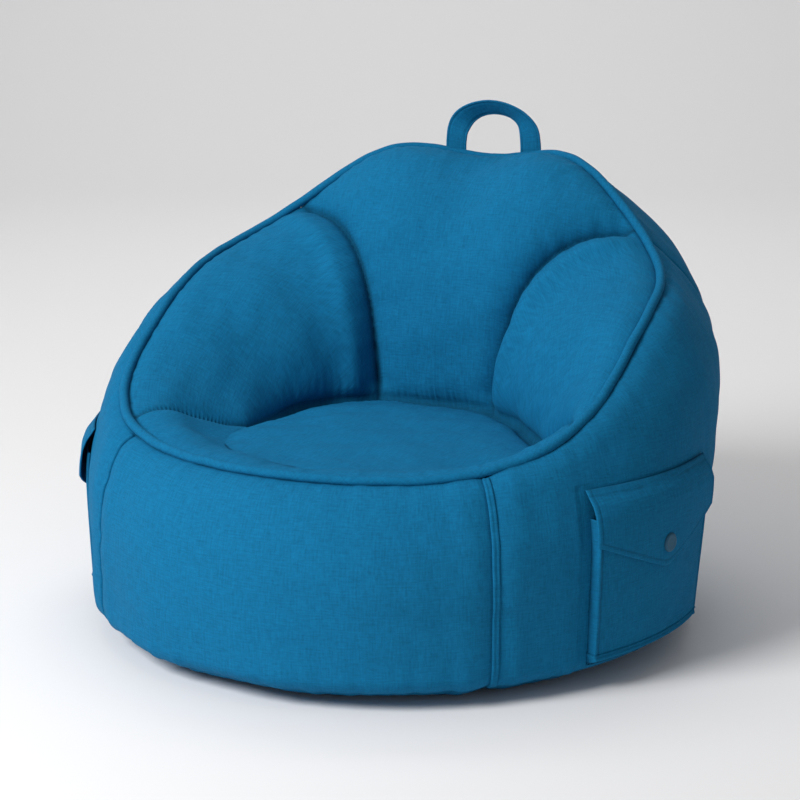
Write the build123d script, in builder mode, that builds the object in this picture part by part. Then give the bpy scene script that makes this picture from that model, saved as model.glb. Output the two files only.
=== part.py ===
from build123d import *
import math, os

os.makedirs("parts", exist_ok=True)

# ------------------------------------------------------------------
# Structured bean bag chair for a child.  Millimetres.
# X to the sitter's left-right, the open front faces -Y, Z up.
# The floor is z = 0 and the origin is under the middle of the body.
# Angles on the body run from the front (0) round to the rear (180).
# ------------------------------------------------------------------
FABRIC = 2.0              # canvas cover with its seam allowance
LINER_GAP = 0.5           # cover to liner
LINER = 1.0               # inner bag that holds the beads
FILL_GAP = 0.5            # liner to fill

# piped rim, plan radius and height as cosine terms of the body angle
RIM_R = [273.5, 29.8, -8.4, 0.0, -3.1, -3.3, 4.6, 1.2]
RIM_Z = [336.1, -136.8, 8.4, 3.4, 3.6, 7.3, -6.3, 2.0]
# widest radius low on the body and half way up, cosine terms
LOW_R = [326.4, 23.9, -0.6, 2.5]
MID_R = [347.3, -4.4, 9.5]
SHOULDER = 120.0          # height over which the wall rolls in to the rim
BASE_ROLL = 34.5          # height of the rolled bottom edge
BASE_IN = 55.2            # how far the bottom edge rolls in

# foot of the bowl (where back and arms meet the seat), every 15 degrees
FOOT_R = [236, 236, 240, 246, 236, 188, 146, 124, 106, 100, 92, 85, 82]
SEAT_Z = 208.0            # height of the seam round the seat
SEAT_CROWN = 9.0          # the seat cushion stands this much higher

FRONT_SEAM = 41.0         # angle of the two front vertical seams
REAR_SEAM = 127.0         # angle of the two rear vertical seams
BASE_SEAM_Z = 13.0        # height of the seam round the base

PIPING_R = 5.0            # rim piping
WELT_R = 3.2              # raised seams down the wall
WELT_UP = 1.4             # underside of a raised seam over the panels

POCKET_C = 75.0           # angle of the middle of each side pocket
POCKET_HALF = 16.5        # half of its angle on the body
POCKET_BOTTOM = 30.0
FLAP_TOP = 206.0
POCKET_TOP = 178.0
POCKET_OUT = 11.4         # stand-off of the pocket face
POCKET_IN = 2.2           # stand-off of the gussets' sewn edge
POCKET_CLOTH = 1.6
FLAP_OUT = 14.2           # stand-off of the flap's inner side
FLAP_CLOTH = 2.0
FLAP_SIDE = 53.0          # drop of the flap at its two sides
FLAP_MID = 92.0           # drop at its middle
SNAP_DROP = 68.0
SNAP_R = 10.0

HANDLE_W = 25.4
HANDLE_T = 2.0

ZIP_Z = 44.0              # height of the closing zipper on the rear
ZIP_HALF = 36.0           # half its angle
N = 36                    # points round the body


def cosum(terms, a):
    return sum(k * math.cos(i * a) for i, k in enumerate(terms))


def smooth_table(tab, a):
    """Periodic cubic through values given every 15 degrees from 0 to 180."""
    d = abs(math.degrees(a)) % 360.0
    if d > 180.0:
        d = 360.0 - d
    i = min(int(d // 15), 11)
    f = d / 15.0 - i
    g = lambda k: tab[-k if k < 0 else (24 - k if k > 12 else k)]
    p0, p1, p2, p3 = g(i - 1), g(i), g(i + 1), g(i + 2)
    return 0.5 * (2 * p1 + (p2 - p0) * f + (2 * p0 - 5 * p1 + 4 * p2 - p3) * f * f
                  + (3 * p1 - p0 - 3 * p2 + p3) * f ** 3)


def slope_share(a):
    """0 where the shoulder is full and round, 1 behind, where it slopes away from the rim."""
    d = abs(math.degrees(a)) % 360.0
    d = 360.0 - d if d > 180.0 else d
    k = min(max((d - 98.0) / 27.0, 0.0), 1.0)
    return k * k * (3 - 2 * k)


def wall_rz(a, s):
    """Outer wall: plan radius and height at angle a and height share s."""
    rp, zp = cosum(RIM_R, a), cosum(RIM_Z, a)
    z = zp * s
    lo, mid = cosum(LOW_R, a), cosum(MID_R, a)
    k = min(max(z / (0.55 * zp + 20.0), 0.0), 1.0)
    k = k * k * (3 - 2 * k)
    r = lo + (mid - lo) * k
    hs = min(SHOULDER, 0.6 * zp)
    u = min(max((z - (zp - hs)) / hs, 0.0), 1.0)
    g = slope_share(a)
    r = rp + (r - rp) * max(1 - u ** (2.4 - 0.2 * g), 0.0) ** (0.72 + 0.48 * g)
    b = min(max(z / BASE_ROLL, 0.0), 1.0)
    return r - BASE_IN * (1 - b) ** 2.2, z


def bowl_power(a):
    """Shape of the bowl wall: an S near the front, an upright quarter round behind."""
    d = abs(math.degrees(a)) % 360.0
    d = 360.0 - d if d > 180.0 else d
    k = min(max((d - 72.0) / 30.0, 0.0), 1.0)
    return 2.2 + (0.95 - 2.2) * k * k * (3 - 2 * k)


def skin(a, t):
    """Whole skin: t 0..1 up the wall, 1..2 down the bowl, 2..3 over the seat."""
    if t <= 1.0:
        r, z = wall_rz(a, t)
        return (r * math.sin(a), -r * math.cos(a), z)
    rp, zp = cosum(RIM_R, a), cosum(RIM_Z, a)
    rf = smooth_table(FOOT_R, a)
    if t <= 2.0:
        p = (t - 1.0) * math.pi / 2
        r = rp - (rp - rf) * math.sin(p)
        z = SEAT_Z + (zp - SEAT_Z) * max(math.cos(p), 0.0) ** bowl_power(a)
        return (r * math.sin(a), -r * math.cos(a), z)
    q = 3.0 - t
    return (q * rf * math.sin(a), -q * rf * math.cos(a), SEAT_Z + SEAT_CROWN * (1 - q * q))


def unit(v):
    m = math.sqrt(sum(c * c for c in v)) or 1.0
    return tuple(c / m for c in v)


def cross(u, v):
    return (u[1] * v[2] - u[2] * v[1], u[2] * v[0] - u[0] * v[2], u[0] * v[1] - u[1] * v[0])


def normal(a, t, lo, hi):
    p, q = skin(a - 0.02, t), skin(a + 0.02, t)
    u, v = skin(a, lo), skin(a, hi)
    return unit(cross([q[i] - p[i] for i in range(3)], [v[i] - u[i] for i in range(3)]))


def lift(a, t):
    """Vector that moves the skin by one millimetre, mitred where the seat meets the wall."""
    if abs(t - 2.0) < 1e-6:
        n, m = normal(a, t, 1.96, 2.0), normal(a, t, 2.0, 2.04)
        k = 1.0 + sum(n[i] * m[i] for i in range(3))
        return tuple((n[i] + m[i]) / k for i in range(3))
    if abs(t - 1.0) < 1e-6:
        return normal(a, t, 0.985, 1.04)
    if t < 1.0:
        return normal(a, t, max(t - 0.012, 0.0), min(t + 0.012, 1.0))
    if t < 2.0:
        return normal(a, t, max(t - 0.02, 1.0), min(t + 0.02, 2.0))
    return normal(a, t, max(t - 0.02, 2.0), min(t + 0.02, 2.98))


def skin_at(a, t, off):
    """The skin moved off along its outward normal (negative is inward)."""
    b, n = skin(a, t), lift(a, t)
    if t == 0.0:
        r = wall_rz(a, 0.0)[0] + 0.4 * off
        return Vector(r * math.sin(a), -r * math.cos(a), -off)
    return Vector(*[b[i] + off * n[i] for i in range(3)])


LEVELS = [0.0, 0.03, 0.08, 0.16, 0.28, 0.42, 0.58, 0.72, 0.83, 0.91, 0.96, 1.0,
          1.12, 1.28, 1.46, 1.64, 1.82, 1.94, 2.0, 2.1, 2.3, 2.55, 2.8]


def ring(t, off):
    pts = []
    for i in range(N):
        a = 2 * math.pi * i / N
        p = skin_at(a, t, off)
        if t > 2.7:
            p = Vector(p.X, p.Y, SEAT_Z + SEAT_CROWN + off)
        pts.append(p)
    return Wire([Edge.make_spline(pts, periodic=True)])


def body(off):
    """The bag as one closed solid, its skin moved off millimetres outward."""
    return Solid.make_loft([ring(t, off) for t in LEVELS], ruled=True)


RAD = math.radians
SEAM_GAP = 0.35           # half the gap left between neighbouring panels


def seam_level(deg):
    """How far down the bowl the seat to arm seam runs at a body angle."""
    k = min(max((deg - 56.0) / 25.0, 0.0), 1.0)
    return 1.0 + k * k * (3 - 2 * k)


def arm_angle(t):
    """Body angle of the arm to back seam, drifting to the rear as it falls."""
    return REAR_SEAM + 11.5 * (t - 1.0)


def cloth_of(fn, nu, nv, top=0.0, thick=FABRIC, up=None):
    """A sheet of cloth: outer grid surface, inner grid surface and four edges, sewn to a solid."""
    g = [[fn(i / (nu - 1), j / (nv - 1)) for j in range(nv)] for i in range(nu)]

    def shifted(d):
        out = []
        for i in range(nu):
            row = []
            for j in range(nv):
                i0, i1 = max(i - 1, 0), min(i + 1, nu - 1)
                j0, j1 = max(j - 1, 0), min(j + 1, nv - 1)
                n = up(g[i][j]) if up else (g[i1][j] - g[i0][j]).cross(g[i][j1] - g[i][j0])
                row.append(g[i][j] + n.normalized() * d)
            out.append(row)
        return out
    faces = [Face.make_surface_from_array_of_points(shifted(top)),
             Face.make_surface_from_array_of_points(shifted(top - thick))]
    for e, f in zip(faces[0].edges(), faces[1].edges()):
        faces.append(Face.make_surface_from_curves(e, f))
    s = Solid(Shell(faces))
    return s if s.volume > 0 else Solid(Shell([-k for k in faces]))


def wall_patch(d0, d1, lift_off=0.0):
    """Outer wall between two body angles, from the base seam to the rim."""
    def fn(u, v):
        a = RAD(d0 + (d1 - d0) * u)
        zp = cosum(RIM_Z, a)
        s0 = (BASE_SEAM_Z + 0.6) / zp
        w = 1 - (1 - v) ** 1.6
        t = s0 + (0.995 - s0) * w
        return skin_at(a, t, lift_off)
    return fn


def back_fn(u, v):
    t = 1.012 + (2.0 - 1.012) * v
    g = 0.12
    a0 = arm_angle(t) + g
    return skin_at(RAD(a0 + (360 - 2 * a0) * u), t, 0.0)


def arm_fn(side):
    def fn(u, v):
        q = v
        d = 58.0 + u * (arm_angle(1.0 + q) - 0.12 - 58.0)
        t = 1.012 + q * (seam_level(d) - 0.024 - 1.0)
        if u > 0.999:
            t = 1.012 + q * (2.0 - 0.0 - 1.012)
        return skin_at(RAD(side * d), t, 0.0)
    return fn


SEAT_N = 60
SEAT_W = [0.0, 0.04, 0.1, 0.18, 0.28, 0.4, 0.55, 0.75, 1.0]


def seat_ring(w, off):
    """Ring of the seat: w 0 along the front rim, arm seams and foot of the back, 1 near the middle."""
    pts = []
    for i in range(SEAT_N):
        d = -180.0 + 360.0 * i / SEAT_N
        e = abs(d)
        t0 = min(1.012 if e < 57.0 else max(seam_level(e), 1.012), 2.006)
        if t0 > 1.97:
            t0 = 2.006
        elif e > 57.0:
            t0 += 0.034
        t = t0 + (2.85 - t0) * w
        p = skin_at(RAD(d), t, off)
        if w == 1.0:
            p = Vector(p.X, p.Y, SEAT_Z + SEAT_CROWN + off - 0.2)
        pts.append(p)
    return Wire([Edge.make_spline(pts, periodic=True)])


with BuildPart() as seat_panel:
    add(Solid.make_loft([seat_ring(w, 0.0) for w in SEAT_W[::-1]] + [seat_ring(w, -FABRIC) for w in SEAT_W],
                        ruled=True))
seat_panel.part.label = "seat_panel"

with BuildPart() as inner_back_panel:
    add(cloth_of(back_fn, 21, 17))
inner_back_panel.part.label = "inner_back_panel"

with BuildPart() as right_arm_panel:
    add(cloth_of(arm_fn(1), 21, 17))
right_arm_panel.part.label = "right_arm_panel"

with BuildPart() as left_arm_panel:
    mirror(right_arm_panel.part, about=Plane.YZ)
left_arm_panel.part.label = "left_arm_panel"

with BuildPart() as front_panel:
    add(cloth_of(wall_patch(-FRONT_SEAM + 0.06, FRONT_SEAM - 0.06), 13, 19))
front_panel.part.label = "front_panel"

with BuildPart() as right_side_panel:
    add(cloth_of(wall_patch(FRONT_SEAM + 0.06, REAR_SEAM - 0.06), 15, 19))
right_side_panel.part.label = "right_side_panel"

with BuildPart() as left_side_panel:
    mirror(right_side_panel.part, about=Plane.YZ)
left_side_panel.part.label = "left_side_panel"

with BuildPart() as rear_panel:
    add(cloth_of(wall_patch(REAR_SEAM + 0.06, 360 - REAR_SEAM - 0.06), 17, 19))
rear_panel.part.label = "rear_panel"


# ---- base: a tray with a rolled edge, flat underneath ----
def level_ring(z, off):
    pts = []
    for i in range(N):
        a = 2 * math.pi * i / N
        s = max(z, 0.0) / cosum(RIM_Z, a)
        if z <= 0.0:
            p = skin_at(a, 0.0, off)
            pts.append(Vector(p.X, p.Y, -off))
        else:
            r = wall_rz(a, s)[0] + 1.05 * off
            pts.append(Vector(r * math.sin(a), -r * math.cos(a), z))
    return Wire([Edge.make_spline(pts, periodic=True)])


with BuildPart() as base_panel:
    add(Solid.make_loft([level_ring(z, 0.0) for z in (0.0, 3.5, 8.0, BASE_SEAM_Z)], ruled=True))
    add(Solid.make_loft([level_ring(0.0, -FABRIC), level_ring(5.0, -FABRIC), level_ring(9.0, -FABRIC),
                         level_ring(BASE_SEAM_Z + 0.01, -FABRIC)], ruled=True), mode=Mode.SUBTRACT)
base_panel.part.label = "base_panel"

# ---- inner bag and its beads ----
BAG_OUT = -(FABRIC + LINER_GAP + 1.0)
BAG_IN = BAG_OUT - LINER
FILL = BAG_IN - FILL_GAP - 0.3
with BuildPart() as liner_bag:
    add(body(BAG_OUT))
    add(body(BAG_IN), mode=Mode.SUBTRACT)
liner_bag.part.label = "liner_bag"

with BuildPart() as bead_fill:
    add(body(FILL))
bead_fill.part.label = "bead_fill"



def on_wall(deg, z, off=0.0):
    """Point on the outer wall at a body angle and height, moved straight out."""
    a = RAD(deg)
    r = wall_rz(a, z / cosum(RIM_Z, a))[0] + off
    return Vector(r * math.sin(a), -r * math.cos(a), z)


# ---- piping round the rim: one cord, its two mirrored halves joined front and rear ----
PIPE_FLAT = 0.8           # underside of the cord, sewn down on the rim
PIPE_UP = 3.4             # its centre over the rim
half_flat = math.sqrt(PIPING_R ** 2 - (PIPE_UP - PIPE_FLAT) ** 2)


def pipe_section(a):
    """Round cord with a flattened underside, square to the rim at a body angle."""
    p, q, o = skin(a - 0.02, 1.0), skin(a + 0.02, 1.0), Vector(*skin(a, 1.0))
    t = (Vector(*q) - Vector(*p)).normalized()
    n = Vector(*lift(a, 1.0))
    if abs(math.sin(a)) < 1e-9:
        o, t, n = Vector(0, o.Y, o.Z), Vector(math.copysign(1, math.cos(a)), 0, 0), Vector(0, n.Y, n.Z)
    n = (n - t * n.dot(t)).normalized()
    w = n.cross(t)
    b0, b1 = o + n * PIPE_FLAT - w * half_flat, o + n * PIPE_FLAT + w * half_flat
    return Wire([Edge.make_three_point_arc(b0, o + n * (PIPE_UP + PIPING_R), b1), Edge.make_line(b1, b0)])


with BuildPart() as rim_piping:
    add(Solid.make_loft([pipe_section(math.pi * i / 20) for i in range(21)]))
    add(Solid.make_loft([pipe_section(math.pi + math.pi * i / 20) for i in range(21)]))
rim_piping.part.label = "rim_piping"


# ---- raised seams down the wall: a cord with a flat back, from the base seam to the rim ----
def welt_section(deg, s):
    a = RAD(deg)
    o = Vector(*skin(a, s))
    t = (Vector(*skin(a, min(s + 0.008, 1.0))) - Vector(*skin(a, s - 0.008))).normalized()
    n = Vector(*lift(a, s))
    n = (n - t * n.dot(t)).normalized()
    w = n.cross(t)
    b0, b1 = o + n * WELT_UP - w * WELT_R, o + n * WELT_UP + w * WELT_R
    return Wire([Edge.make_three_point_arc(b0, o + n * (WELT_UP + WELT_R * 0.75), b1), Edge.make_line(b1, b0)])


WELT_S = [0.0, 0.03, 0.07, 0.12, 0.2, 0.3, 0.4, 0.5, 0.6, 0.68, 0.75, 0.81, 0.86, 0.9, 0.935, 0.96]


def welt(deg):
    s0 = (BASE_SEAM_Z + 12.5) / cosum(RIM_Z, RAD(deg))
    return Solid.make_loft([welt_section(deg, s0 + (1 - s0) * k) for k in WELT_S])


with BuildPart() as front_right_welt:
    add(welt(FRONT_SEAM))
front_right_welt.part.label = "front_right_welt"

with BuildPart() as rear_right_welt:
    add(welt(REAR_SEAM))
rear_right_welt.part.label = "rear_right_welt"

with BuildPart() as front_left_welt:
    mirror(front_right_welt.part, about=Plane.YZ)
front_left_welt.part.label = "front_left_welt"

with BuildPart() as rear_left_welt:
    mirror(rear_right_welt.part, about=Plane.YZ)
rear_left_welt.part.label = "rear_left_welt"


# ---- side pockets: a face standing off the wall, two gussets and a bottom ----
P0, P1 = POCKET_C - POCKET_HALF, POCKET_C + POCKET_HALF


def banana(z, inner, outer, d0, d1, k=7):
    """Closed wire at one height between two stand-offs of the wall."""
    lo = [on_wall(d0 + (d1 - d0) * i / (k - 1), z, inner) for i in range(k)]
    hi = [on_wall(d0 + (d1 - d0) * i / (k - 1), z, outer) for i in range(k)]
    return Wire([Edge.make_spline(hi), Edge.make_line(hi[-1], lo[-1]),
                 Edge.make_spline(lo[::-1]), Edge.make_line(lo[0], hi[0])])


Z_POCKET = [POCKET_BOTTOM, 32.0, 34.5, 37.0, 40.0, 44.0, 50.0, 60.0, 70.0, 82.0, 95.0, 108.0,
            120.0, 133.0, 145.0, 154.0, 162.0, 170.0, POCKET_TOP]
with BuildPart() as right_pocket:
    add(Solid.make_loft([banana(z, POCKET_IN, POCKET_OUT, P0, P1) for z in Z_POCKET], ruled=True))
    add(Solid.make_loft([banana(z, -6.0, POCKET_OUT - POCKET_CLOTH, P0 + 0.34, P1 - 0.34)
                         for z in [POCKET_BOTTOM + POCKET_CLOTH] + Z_POCKET[2:-1] + [POCKET_TOP + 5]],
                        ruled=True), mode=Mode.SUBTRACT)
right_pocket.part.label = "right_pocket"

with BuildPart() as left_pocket:
    mirror(right_pocket.part, about=Plane.YZ)
left_pocket.part.label = "left_pocket"

# ---- pocket flaps: sewn to the wall along the top, flaring over the pocket ----
FLAP_SHAPE = [(0.0, 1.6), (6.0, 4.9), (14.0, 10.4), (24.0, 13.6), (38.0, FLAP_OUT), (56.0, FLAP_OUT),
              (80.0, FLAP_OUT), (FLAP_MID, FLAP_OUT)]
tangent = Vector(math.cos(RAD(POCKET_C)), math.sin(RAD(POCKET_C)), 0)
radial = Vector(math.sin(RAD(POCKET_C)), -math.cos(RAD(POCKET_C)), 0)
flap_plane = Plane(origin=radial * 240 + Vector(0, 0, FLAP_TOP), x_dir=tangent, z_dir=radial)
with BuildPart() as right_pocket_flap:
    add(Solid.make_loft([banana(FLAP_TOP - h, d, d + FLAP_CLOTH, P0 - 0.4, P1 + 0.4) for h, d in FLAP_SHAPE],
                        ruled=True))
    with BuildSketch(flap_plane) as v_cut:
        with BuildLine():
            Polyline((-130, -FLAP_SIDE - 2), (-98, -FLAP_SIDE), (-12, -FLAP_MID + 1.5), (12, -FLAP_MID + 1.5),
                     (98, -FLAP_SIDE), (130, -FLAP_SIDE - 2), (130, -140), (-130, -140),
                     (-130, -FLAP_SIDE - 2))
        make_face()
    extrude(amount=180, mode=Mode.SUBTRACT)
right_pocket_flap.part.label = "right_pocket_flap"

with BuildPart() as left_pocket_flap:
    mirror(right_pocket_flap.part, about=Plane.YZ)
left_pocket_flap.part.label = "left_pocket_flap"

# ---- press snaps at the middle of each flap ----
snap_r = on_wall(POCKET_C, FLAP_TOP - SNAP_DROP).dot(radial)


def snap_plane(d):
    return Plane(origin=radial * (snap_r + d) + Vector(0, 0, FLAP_TOP - SNAP_DROP), x_dir=tangent, z_dir=radial)


with BuildPart() as right_snap_cap:
    with BuildSketch(snap_plane(FLAP_OUT + FLAP_CLOTH + 0.6)) as cap_sk:
        Circle(SNAP_R)
    extrude(amount=2.2)
    fillet(right_snap_cap.edges().sort_by(Axis((0, 0, 0), radial))[-1], radius=1.4)
right_snap_cap.part.label = "right_snap_cap"

with BuildPart() as right_snap_socket:
    with BuildSketch(snap_plane(FLAP_OUT - 1.35)) as sock_sk:
        Circle(6.0)
        Circle(2.7, mode=Mode.SUBTRACT)
    extrude(amount=0.8)
right_snap_socket.part.label = "right_snap_socket"

with BuildPart() as right_snap_stud:
    with BuildSketch(snap_plane(POCKET_OUT + 0.4)) as stud_sk:
        Circle(6.0)
    extrude(amount=0.6)
    with BuildSketch(snap_plane(POCKET_OUT + 1.0)) as post_sk:
        Circle(2.0)
    extrude(amount=1.0)
right_snap_stud.part.label = "right_snap_stud"

with BuildPart() as left_snap_cap:
    mirror(right_snap_cap.part, about=Plane.YZ)
left_snap_cap.part.label = "left_snap_cap"
with BuildPart() as left_snap_socket:
    mirror(right_snap_socket.part, about=Plane.YZ)
left_snap_socket.part.label = "left_snap_socket"
with BuildPart() as left_snap_stud:
    mirror(right_snap_stud.part, about=Plane.YZ)
left_snap_stud.part.label = "left_snap_stud"

# ---- carry handle: one webbing strap, legs facing front, twisted to lie across the top ----
HANDLE_Y, HANDLE_Z = 243.0, 470.8
strap = []      # (position, along, width direction)
for x, z, ax, az, w in [
        (-47.0, 0.0, 0.0, 1.0, (-1, 0, 0)),
        (-46.6, 14.0, 0.05, 1.0, (-1, -0.02, 0)),
        (-44.5, 27.0, 0.30, 1.0, (-0.95, -0.12, 0.28)),
        (-36.5, 40.0, 0.75, 0.75, (-0.62, -0.50, 0.60)),
        (-24.0, 48.5, 1.0, 0.42, (-0.26, -0.68, 0.68)),
        (-11.0, 52.5, 1.0, 0.14, (-0.06, -0.72, 0.69)),
        (0.0, 53.5, 1.0, 0.0, (0, -0.72, 0.69))]:
    strap.append((Vector(x, 0, z), Vector(ax, 0, az).normalized(), Vector(*w)))
strap += [(Vector(-p.X, 0, p.Z), Vector(d.X, 0, -d.Z), Vector(-w.X, w.Y, w.Z)) for p, d, w in strap[-2::-1]]
with BuildPart() as carry_handle:
    for i, (p, d, w) in enumerate(strap):
        w = (w - d * w.dot(d)).normalized()
        with BuildSketch(Plane(origin=p + Vector(0, HANDLE_Y, HANDLE_Z), x_dir=w, z_dir=d)):
            Rectangle(HANDLE_W, HANDLE_T)
    loft()
carry_handle.part.label = "carry_handle"

# ---- closing zipper low on the rear: two tapes, a coil and a slider that runs on it ----
def circle3(p, q, r):
    """Centre on the Y axis and radius of a circle through two points mirrored about X = 0."""
    y0, (x1, y1) = p, q
    c = (x1 * x1 + y1 * y1 - y0 * y0) / (2 * (y1 - y0))
    return c, y0 - c


za, zb = on_wall(180, ZIP_Z + 18.0), on_wall(180 - ZIP_HALF, ZIP_Z + 18.0)
ZIP_C, ZIP_R = circle3(za.Y, (zb.X, zb.Y), None)
ZIP_H = ZIP_Z + 18.0
ZIP_R += 5.0              # radius of the coil's centre line
zip_a = math.degrees(math.atan2(zb.X, zb.Y - ZIP_C))    # half angle about the arc's centre


def tape(z0, z1):
    def fn(u, v):
        d = 180 - ZIP_HALF - 2 + (2 * ZIP_HALF + 4) * u
        return on_wall(d, z0 + (z1 - z0) * v, 0.0)
    return cloth_of(fn, 15, 4, top=1.7, thick=1.0)


with BuildPart() as zipper_tapes:
    add(tape(ZIP_H - 15.0, ZIP_H - 2.6))
    add(tape(ZIP_H + 2.6, ZIP_H + 15.0))
zipper_tapes.part.label = "zipper_tapes"



def arc_plane(a):
    d = Vector(math.sin(RAD(a)), math.cos(RAD(a)), 0)
    return Plane(origin=(0, ZIP_C, ZIP_H), x_dir=d, z_dir=(-d.Y, d.X, 0))


with BuildPart() as zipper_coil:
    with BuildSketch(arc_plane(zip_a)) as coil_sk:
        with Locations((ZIP_R, 0)):
            Circle(2.4)
    revolve(axis=Axis((0, ZIP_C, 0), (0, 0, 1)), revolution_arc=2 * zip_a)
zipper_coil.part.label = "zipper_coil"

SLIDER_A = zip_a - 2.0    # the slider's rest position, at one end of the coil
with BuildPart() as zipper_slider:
    with BuildSketch(arc_plane(SLIDER_A)) as slider_sk:
        with Locations((ZIP_R + 1.6, 0)):
            RectangleRounded(6.4, 10.0, 1.5)
        with Locations((ZIP_R, 0)):
            Circle(2.9, mode=Mode.SUBTRACT)
    revolve(axis=Axis((0, ZIP_C, 0), (0, 0, 1)), revolution_arc=2.2)
zipper_slider.part.label = "zipper_slider"

for shape in (seat_panel, inner_back_panel, left_arm_panel, right_arm_panel, front_panel,
              left_side_panel, right_side_panel, rear_panel, base_panel, liner_bag, bead_fill,
              rim_piping, front_left_welt, front_right_welt, rear_left_welt, rear_right_welt,
              left_pocket, right_pocket, left_pocket_flap, right_pocket_flap,
              left_snap_cap, right_snap_cap, left_snap_socket, right_snap_socket,
              left_snap_stud, right_snap_stud, carry_handle, zipper_tapes, zipper_coil, zipper_slider):
    export_step(shape.part, "parts/" + shape.part.label + ".step")
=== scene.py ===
import bpy
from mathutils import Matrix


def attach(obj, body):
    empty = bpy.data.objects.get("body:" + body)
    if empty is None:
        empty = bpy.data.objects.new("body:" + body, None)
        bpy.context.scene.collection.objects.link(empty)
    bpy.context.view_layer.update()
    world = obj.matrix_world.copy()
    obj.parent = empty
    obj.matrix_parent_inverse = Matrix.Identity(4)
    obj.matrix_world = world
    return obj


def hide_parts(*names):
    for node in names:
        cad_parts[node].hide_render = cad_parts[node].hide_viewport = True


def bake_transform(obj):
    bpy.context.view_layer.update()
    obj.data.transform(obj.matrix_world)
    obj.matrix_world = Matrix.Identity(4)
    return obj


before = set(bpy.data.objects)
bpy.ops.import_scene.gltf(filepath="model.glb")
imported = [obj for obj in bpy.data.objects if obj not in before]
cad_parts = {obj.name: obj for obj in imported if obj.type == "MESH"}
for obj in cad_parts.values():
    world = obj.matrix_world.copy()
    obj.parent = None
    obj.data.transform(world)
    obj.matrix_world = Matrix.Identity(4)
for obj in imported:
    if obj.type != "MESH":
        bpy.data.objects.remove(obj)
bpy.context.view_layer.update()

import bpy, math
import numpy as np
from mathutils import Vector, kdtree

# ------------------------------------------------------------------
# Bean bag chair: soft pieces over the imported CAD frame.
# Shapes are computed in millimetres and scaled to metres in make().
# Body angle a: 0 at the open front (-Y), pi at the rear.
# ------------------------------------------------------------------
RIM_R = [273.5, 29.8, -8.4, 0.0, -3.1, -3.3, 4.6, 1.2]
RIM_Z = [336.1, -136.8, 8.4, 3.4, 3.6, 7.3, -6.3, 2.0]
LOW_R = [326.4, 23.9, -0.6, 2.5]
MID_R = [347.3, -4.4, 9.5]
SHOULDER, BASE_ROLL, BASE_IN = 120.0, 34.5, 55.2
FOOT_R = [236, 236, 240, 246, 236, 188, 146, 124, 106, 100, 92, 85, 82]      # sitter side of the +X arm
FOOT_L = [236, 235, 222, 190, 160, 140, 128, 118, 108, 101, 92, 85, 82]      # the -X arm sits fuller in use
SEAT_Z, SEAT_CROWN = 208.0, 9.0
FRONT_SEAM, REAR_SEAM, BASE_SEAM_Z = 41.0, 127.0, 13.0
POCKET_C, POCKET_HALF = 75.0, 16.5
POCKET_BOTTOM, POCKET_TOP, FLAP_TOP = 30.0, 178.0, 206.0
POCKET_OUT, FLAP_OUT, FLAP_CLOTH = 11.4, 14.2, 2.0
FLAP_SIDE, FLAP_MID, SNAP_DROP, SNAP_R = 53.0, 92.0, 68.0, 10.0
HANDLE_Y, HANDLE_Z = 243.0, 470.8

rng = np.random.default_rng(11)


def cosum(terms, a):
    return sum(k * np.cos(i * a) for i, k in enumerate(terms))


def folded(a):
    d = np.abs(np.degrees(a)) % 360.0
    return np.where(d > 180.0, 360.0 - d, d)


def foot_r(a):
    d = folded(a)
    i = np.minimum((d // 15).astype(int), 11)
    f = d / 15.0 - i
    both = np.array([[F[1]] + F + [F[-2]] for F in (FOOT_R, FOOT_L)], float)
    m = (np.sin(a) < 0).astype(int)
    p0, p1, p2, p3 = both[m, i], both[m, i + 1], both[m, i + 2], both[m, i + 3]
    return 0.5 * (2 * p1 + (p2 - p0) * f + (2 * p0 - 5 * p1 + 4 * p2 - p3) * f * f
                  + (3 * p1 - p0 - 3 * p2 + p3) * f ** 3)


def wall_rz(a, s):
    rp, zp = cosum(RIM_R, a), cosum(RIM_Z, a)
    z = zp * s
    lo, mid = cosum(LOW_R, a), cosum(MID_R, a)
    k = np.clip(z / (0.55 * zp + 20.0), 0, 1)
    k = k * k * (3 - 2 * k)
    r = lo + (mid - lo) * k
    hs = np.minimum(SHOULDER, 0.6 * zp)
    u = np.clip((z - (zp - hs)) / hs, 0, 1)
    g = np.clip((folded(a) - 98.0) / 27.0, 0, 1)
    g = g * g * (3 - 2 * g)
    r = rp + (r - rp) * np.maximum(1 - u ** (2.4 - 0.2 * g), 0) ** (0.72 + 0.48 * g)
    b = np.clip(z / BASE_ROLL, 0, 1)
    return r - BASE_IN * (1 - b) ** 2.2, z


def skin(a, t):
    """The bag's outer skin: t 0..1 up the wall, 1..2 down the bowl, 2..3 over the seat."""
    a, t = np.broadcast_arrays(np.asarray(a, float), np.asarray(t, float))
    rw, zw = wall_rz(a, np.clip(t, 0, 1))
    rp, zp, rf = cosum(RIM_R, a), cosum(RIM_Z, a), foot_r(a)
    k = np.clip((folded(a) - 72.0) / 30.0, 0, 1)
    power = 2.2 + (0.95 - 2.2) * k * k * (3 - 2 * k)
    p = np.clip(t - 1, 0, 1) * math.pi / 2
    rb = rp - (rp - rf) * np.sin(p)
    zb = SEAT_Z + (zp - SEAT_Z) * np.maximum(np.cos(p), 0) ** power
    q = np.clip(3 - t, 0, 1)
    rs, zs = q * rf, SEAT_Z + SEAT_CROWN * (1 - q * q)
    r = np.where(t <= 1, rw, np.where(t <= 2, rb, rs))
    z = np.where(t <= 1, zw, np.where(t <= 2, zb, zs))
    return np.stack([r * np.sin(a), -r * np.cos(a), z], -1)


def seam_level(deg, left=False):
    k = np.where(left, np.clip((deg - 45.0) / 15.0, 0, 1), np.clip((deg - 56.0) / 25.0, 0, 1))
    return 1.0 + k * k * (3 - 2 * k)


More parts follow.
